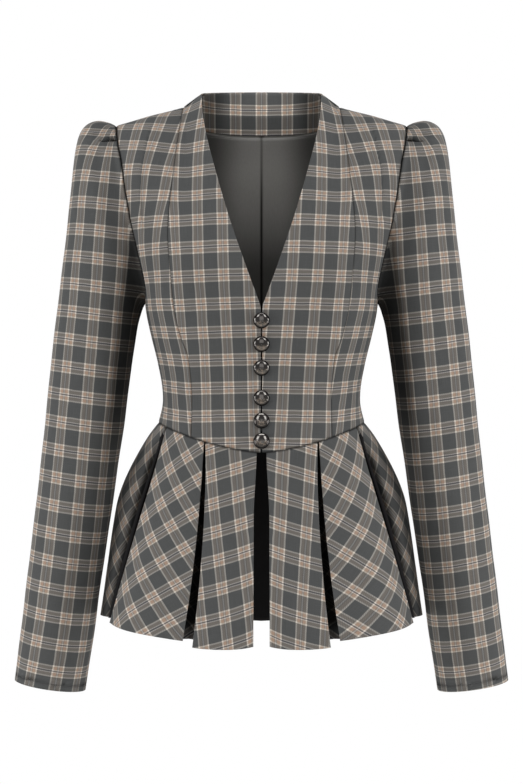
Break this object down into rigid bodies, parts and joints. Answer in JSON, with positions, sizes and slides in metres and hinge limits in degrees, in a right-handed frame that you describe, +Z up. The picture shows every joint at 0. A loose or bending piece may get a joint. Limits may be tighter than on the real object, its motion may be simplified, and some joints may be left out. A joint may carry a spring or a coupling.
{
  "type": "peplum jacket",
  "caption": "Fitted peplum jacket in grey and brown plaid, filled out and hollow, with a deep V neck, puffed long sleeves, domed metal buttons and a box-pleated peplum.",
  "frame": {"origin": "Midway between the two points where the neck meets the shoulders, on the line of the shoulder seams", "axes": "+Z up along the body, -Y out of the front, +X towards the wearer's left"},
  "size_m": [0.5868, 0.2991, 0.7243],
  "materials": {
    "plaid_cloth": "soft brushed wool-blend twill, grey with a brown and cream plaid",
    "grey_lining": "plain grey satin lining, low sheen",
    "black_lining": "plain black lining",
    "gunmetal": "antique gunmetal, cast and polished on the high places"
  },
  "bodies": {
    "root": {"front_centre_left": "plaid_cloth", "front_centre_right": "plaid_cloth", "front_side_left": "plaid_cloth", "front_side_right": "plaid_cloth", "back_centre_left": "plaid_cloth", "back_centre_right": "plaid_cloth", "back_side_left": "plaid_cloth", "back_side_right": "plaid_cloth", "collar_back": "plaid_cloth", "neck_facing": "plaid_cloth", "lining_back_left": "grey_lining", "lining_back_right": "grey_lining", "sleeve_left": "plaid_cloth", "sleeve_right": "plaid_cloth", "peplum_front_left": "plaid_cloth", "peplum_front_right": "plaid_cloth", "peplum_side_front_left": "plaid_cloth", "peplum_side_front_right": "plaid_cloth", "peplum_side_left": "plaid_cloth", "peplum_side_right": "plaid_cloth", "peplum_side_back_left": "plaid_cloth", "peplum_side_back_right": "plaid_cloth", "peplum_back": "plaid_cloth", "lining_peplum": "black_lining", "button_1": "gunmetal", "button_2": "gunmetal", "button_3": "gunmetal", "button_4": "gunmetal", "button_5": "gunmetal", "button_6": "gunmetal"}
  },
  "joints": []
}
